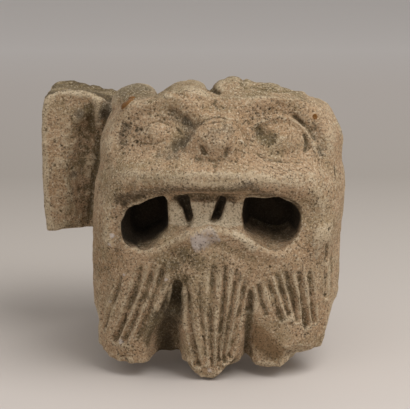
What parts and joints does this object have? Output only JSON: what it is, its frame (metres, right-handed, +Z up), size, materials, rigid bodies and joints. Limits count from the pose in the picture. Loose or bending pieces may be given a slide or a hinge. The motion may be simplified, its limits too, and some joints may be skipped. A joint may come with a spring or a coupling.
{
  "type": "carved head corbel",
  "caption": "Limestone corbel carved as a bearded grotesque head with an open mouth and teeth, on a square tail that is built into a wall.",
  "frame": {"origin": "centre of the tail's flat back, where the stone is built into the wall", "axes": "+X to the right as one faces the head, +Y back into the wall, +Z up; the face looks along -Y"},
  "size_m": [0.2118, 0.1819, 0.1997],
  "materials": {
    "limestone": "rough weathered stone"
  },
  "bodies": {
    "root": {"carved_corbel": "limestone"}
  },
  "joints": []
}
